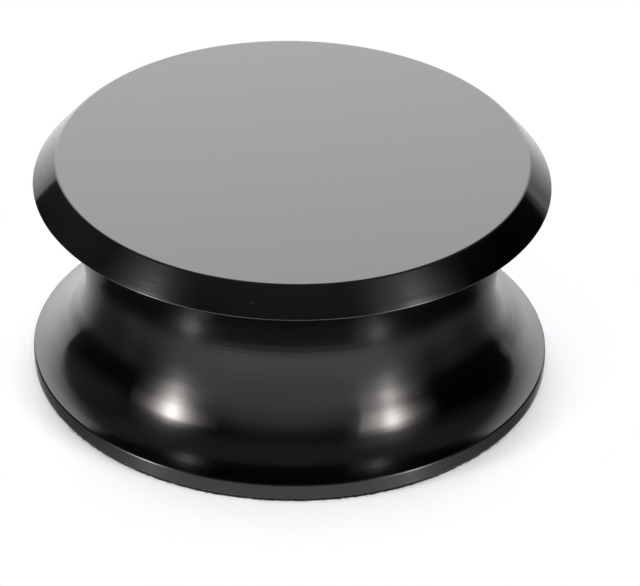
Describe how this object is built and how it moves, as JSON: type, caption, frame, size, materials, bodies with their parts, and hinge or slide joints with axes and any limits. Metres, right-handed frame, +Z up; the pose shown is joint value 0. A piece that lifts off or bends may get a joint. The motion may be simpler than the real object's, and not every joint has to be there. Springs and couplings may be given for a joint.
{
  "type": "record weight",
  "caption": "Turned spool-shaped weight with a felt underside and a blind spindle bore, set on a record's label to hold it flat on the turntable.",
  "frame": {"origin": "on the axis, in the plane that the felt rests on", "axes": "+Z up along the turned axis, out of the top face; +X and +Y are free, because the part is round"},
  "size_m": [0.08, 0.08, 0.0364],
  "materials": {
    "black_anodised": "turned, black anodised, semi-gloss",
    "felt": "pressed black felt"
  },
  "bodies": {
    "root": {"weight_body": "black_anodised", "felt_ring": "felt"}
  },
  "joints": []
}
